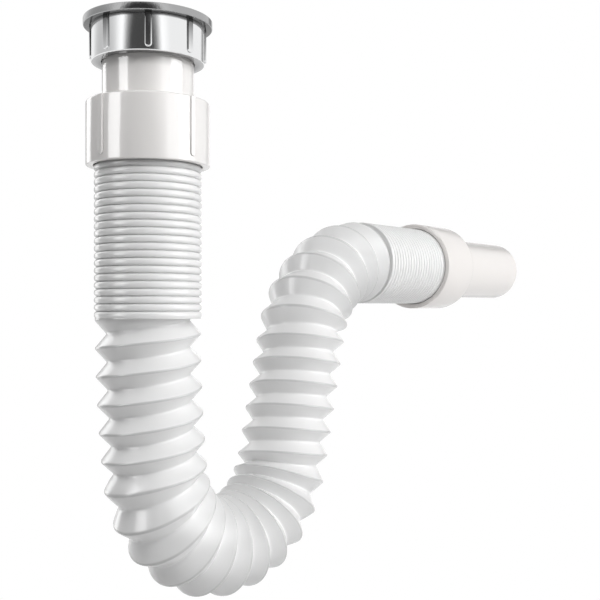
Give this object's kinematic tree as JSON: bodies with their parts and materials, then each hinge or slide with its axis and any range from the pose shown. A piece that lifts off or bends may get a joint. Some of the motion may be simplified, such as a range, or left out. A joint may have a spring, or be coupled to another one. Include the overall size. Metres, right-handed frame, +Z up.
{
  "type": "flexible waste trap",
  "caption": "Flexible corrugated sink waste trap: threaded coupling nut, ribbed inlet connector, bellows hose bent into a U, and a plain outlet tube.",
  "frame": {"origin": "centre of the coupling nut's open face, where the sink's waste outlet screws in", "axes": "+Z up along the nut's axis, out of its mouth; +X level along the outlet tube, away from the inlet"},
  "size_m": [0.3848, 0.0588, 0.2753],
  "materials": {
    "nut_chrome": "polished plating",
    "seal_rubber": "soft black rubber",
    "connector_white": "glossy moulded polypropylene",
    "hose_white": "satin blow-moulded polypropylene",
    "outlet_ivory": "smooth moulded polypropylene"
  },
  "bodies": {
    "trap": {"inlet_connector": "connector_white", "inlet_gasket": "seal_rubber", "hose": "hose_white"},
    "nut": {"coupling_nut": "nut_chrome"},
    "outlet": {"outlet_connector": "outlet_ivory"}
  },
  "joints": [
    {"name": "nut_spin", "type": "hinge", "parent": "trap", "child": "nut", "pos_m": [0, 0, 0], "axis": [0, 0, 1], "continuous": true},
    {"name": "hose_pull_out", "type": "slide", "parent": "trap", "child": "outlet", "axis": [1, 0, 0], "range_m": [0, 0.15], "deforming": ["hose"]}
  ]
}
